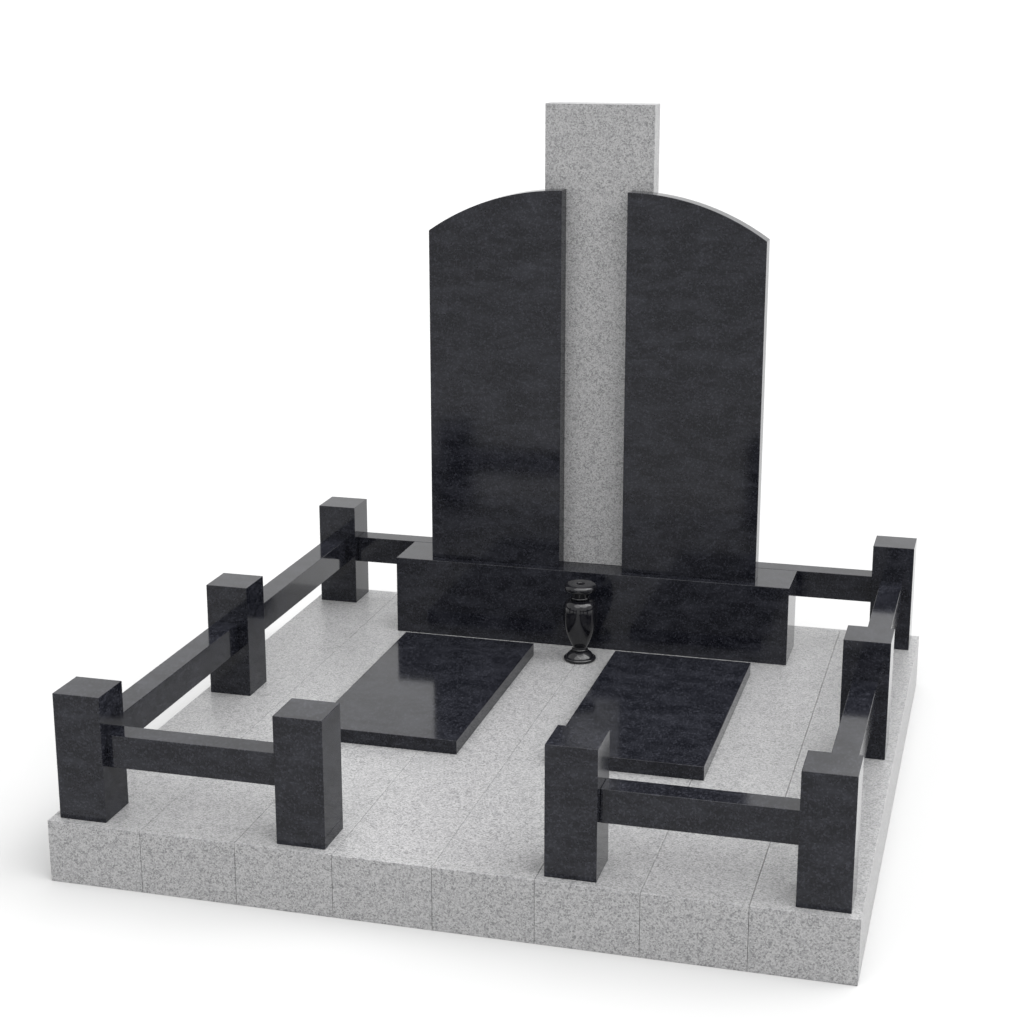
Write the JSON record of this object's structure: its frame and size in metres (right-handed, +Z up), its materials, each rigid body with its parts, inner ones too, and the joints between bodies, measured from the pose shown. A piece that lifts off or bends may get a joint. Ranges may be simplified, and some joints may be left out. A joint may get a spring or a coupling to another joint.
{
  "type": "double grave memorial",
  "caption": "Double grave memorial of polished black and light grey granite: arched steles, column, plinth, ledger slabs, flower vase and low fence on a paved base.",
  "frame": {"origin": "middle of the base's underside, where it meets the ground", "axes": "+Z up, -Y towards a visitor at the gateway, +X to that visitor's right"},
  "size_m": [2.4, 2.4, 2.1956],
  "materials": {
    "black_granite": "mirror polished",
    "grey_granite": "polished, speckled"
  },
  "bodies": {
    "root": {"base_strip_1": "grey_granite", "base_strip_2": "grey_granite", "base_strip_3": "grey_granite", "base_strip_4": "grey_granite", "base_strip_5": "grey_granite", "base_strip_6": "grey_granite", "base_strip_7": "grey_granite", "base_strip_8": "grey_granite", "post_front_left": "black_granite", "post_gate_left": "black_granite", "post_gate_right": "black_granite", "post_front_right": "black_granite", "post_middle_left": "black_granite", "post_middle_right": "black_granite", "post_back_left": "black_granite", "post_back_right": "black_granite", "rail_front_left": "black_granite", "rail_front_right": "black_granite", "rail_left_front": "black_granite", "rail_left_back": "black_granite", "rail_right_front": "black_granite", "rail_right_back": "black_granite", "rail_back": "black_granite", "plinth": "black_granite", "stele_left": "black_granite", "stele_right": "black_granite", "column": "grey_granite", "ledger_slab_left": "black_granite", "ledger_slab_right": "black_granite", "flower_vase": "black_granite"}
  },
  "joints": []
}
